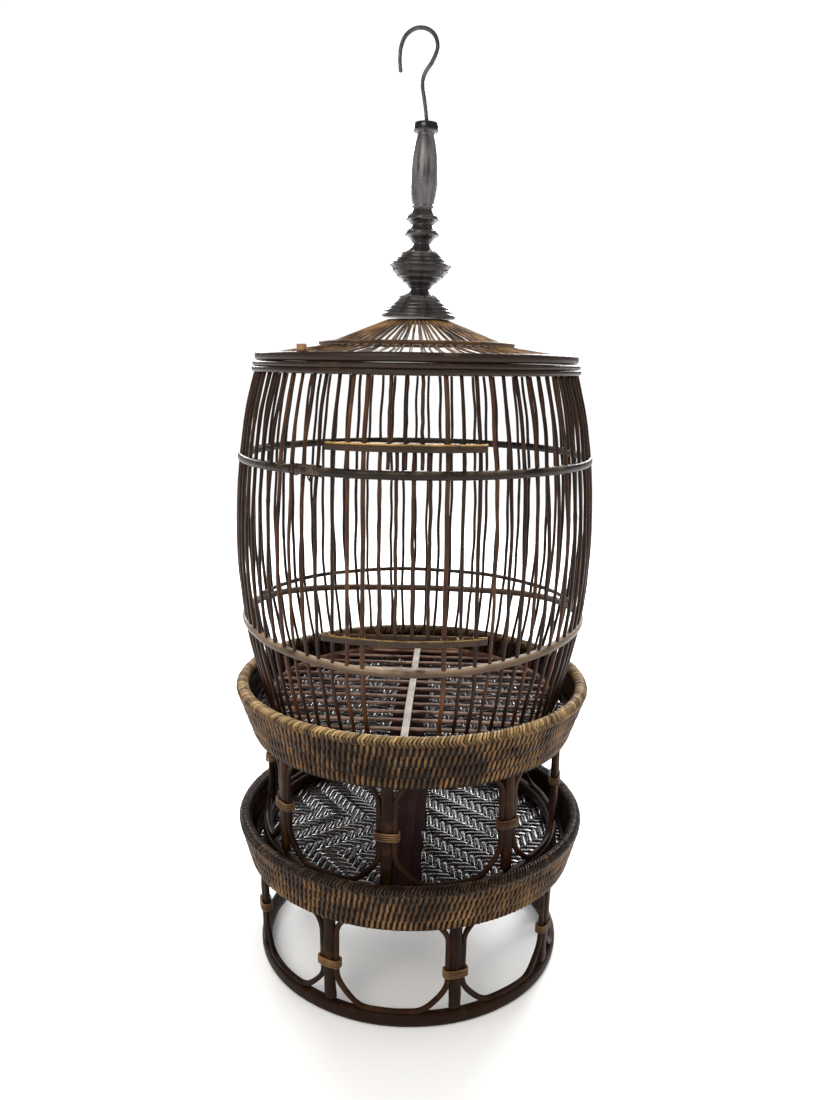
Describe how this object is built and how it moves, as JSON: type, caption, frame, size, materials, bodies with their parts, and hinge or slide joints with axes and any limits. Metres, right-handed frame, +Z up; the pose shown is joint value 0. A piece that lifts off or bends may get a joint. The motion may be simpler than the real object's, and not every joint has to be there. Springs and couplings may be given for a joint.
{
  "type": "bird cage on stand",
  "caption": "Round bamboo bird cage with a barrel wall, sliding door, turned spire and iron hook, standing on nested pedestal trays of woven rattan.",
  "frame": {"origin": "on the floor, under the middle of the lower foot ring", "axes": "+Z up along the cage's axis, -Y out through the cage door, +X to the right of someone facing the door"},
  "size_m": [0.3746, 0.3746, 0.9474],
  "materials": {
    "leg_cane": "lacquered cane",
    "woven_rattan": "satin woven rattan",
    "lacquered_weave": "glossy lacquered twill weave",
    "dark_bamboo": "satin lacquered bamboo",
    "worn_bamboo": "lacquered bamboo worn pale at its edges",
    "pale_strip": "matt bare bamboo",
    "bare_wood": "matt bare wood",
    "turned_wood": "glossy lacquered turned wood",
    "iron_wire": "dark oxide"
  },
  "bodies": {
    "lower_stand": {"lower_foot_ring": "leg_cane", "lower_pole_1": "leg_cane", "lower_cane_loop_1": "leg_cane", "lower_pole_2": "leg_cane", "lower_cane_loop_2": "leg_cane", "lower_pole_3": "leg_cane", "lower_cane_loop_3": "leg_cane", "lower_pole_4": "leg_cane", "lower_cane_loop_4": "leg_cane", "lower_pole_5": "leg_cane", "lower_cane_loop_5": "leg_cane", "lower_pole_6": "leg_cane", "lower_cane_loop_6": "leg_cane", "lower_pole_7": "leg_cane", "lower_cane_loop_7": "leg_cane", "lower_pole_8": "leg_cane", "lower_cane_loop_8": "leg_cane", "lower_tray_band": "woven_rattan", "lower_tray_floor": "lacquered_weave"},
    "upper_stand": {"upper_foot_ring": "leg_cane", "upper_pole_1": "leg_cane", "upper_cane_loop_1": "leg_cane", "upper_pole_2": "leg_cane", "upper_cane_loop_2": "leg_cane", "upper_pole_3": "leg_cane", "upper_cane_loop_3": "leg_cane", "upper_pole_4": "leg_cane", "upper_cane_loop_4": "leg_cane", "upper_pole_5": "leg_cane", "upper_cane_loop_5": "leg_cane", "upper_pole_6": "leg_cane", "upper_cane_loop_6": "leg_cane", "upper_pole_7": "leg_cane", "upper_cane_loop_7": "leg_cane", "upper_pole_8": "leg_cane", "upper_cane_loop_8": "leg_cane", "upper_tray_band": "woven_rattan", "upper_tray_floor": "lacquered_weave"},
    "cage": {"floor_hoop": "worn_bamboo", "floor_slats": "worn_bamboo", "floor_strip": "pale_strip", "wall_bars_1": "dark_bamboo", "wall_bars_2": "dark_bamboo", "wall_bars_3": "dark_bamboo", "wall_bars_4": "dark_bamboo", "bars_over_door": "dark_bamboo", "sill_hoop": "worn_bamboo", "belt_hoop": "worn_bamboo", "rear_half_hoop": "dark_bamboo", "wall_top_hoop": "dark_bamboo", "roof_rim_hoop": "dark_bamboo", "roof_middle_hoop": "worn_bamboo", "roof_splints": "dark_bamboo", "roof_rim_block": "bare_wood", "finial": "turned_wood", "handle": "turned_wood"},
    "door": {"door_top_rail": "worn_bamboo", "door_bottom_rail": "worn_bamboo"},
    "hook": {"hook": "iron_wire"}
  },
  "joints": [
    {"name": "upper_stand_lift", "type": "slide", "parent": "lower_stand", "child": "upper_stand", "axis": [0, 0, 1], "range_m": [0, 0.06]},
    {"name": "cage_lift", "type": "slide", "parent": "upper_stand", "child": "cage", "axis": [0, 0, 1], "range_m": [0, 0.06]},
    {"name": "door_slide", "type": "slide", "parent": "cage", "child": "door", "axis": [0, 0, 1], "range_m": [-0.015, 0.055]},
    {"name": "hook_swivel", "type": "hinge", "parent": "cage", "child": "hook", "pos_m": [0.00626, 0, 0.86194], "axis": [0.0262, 0, 0.9997], "continuous": true}
  ]
}
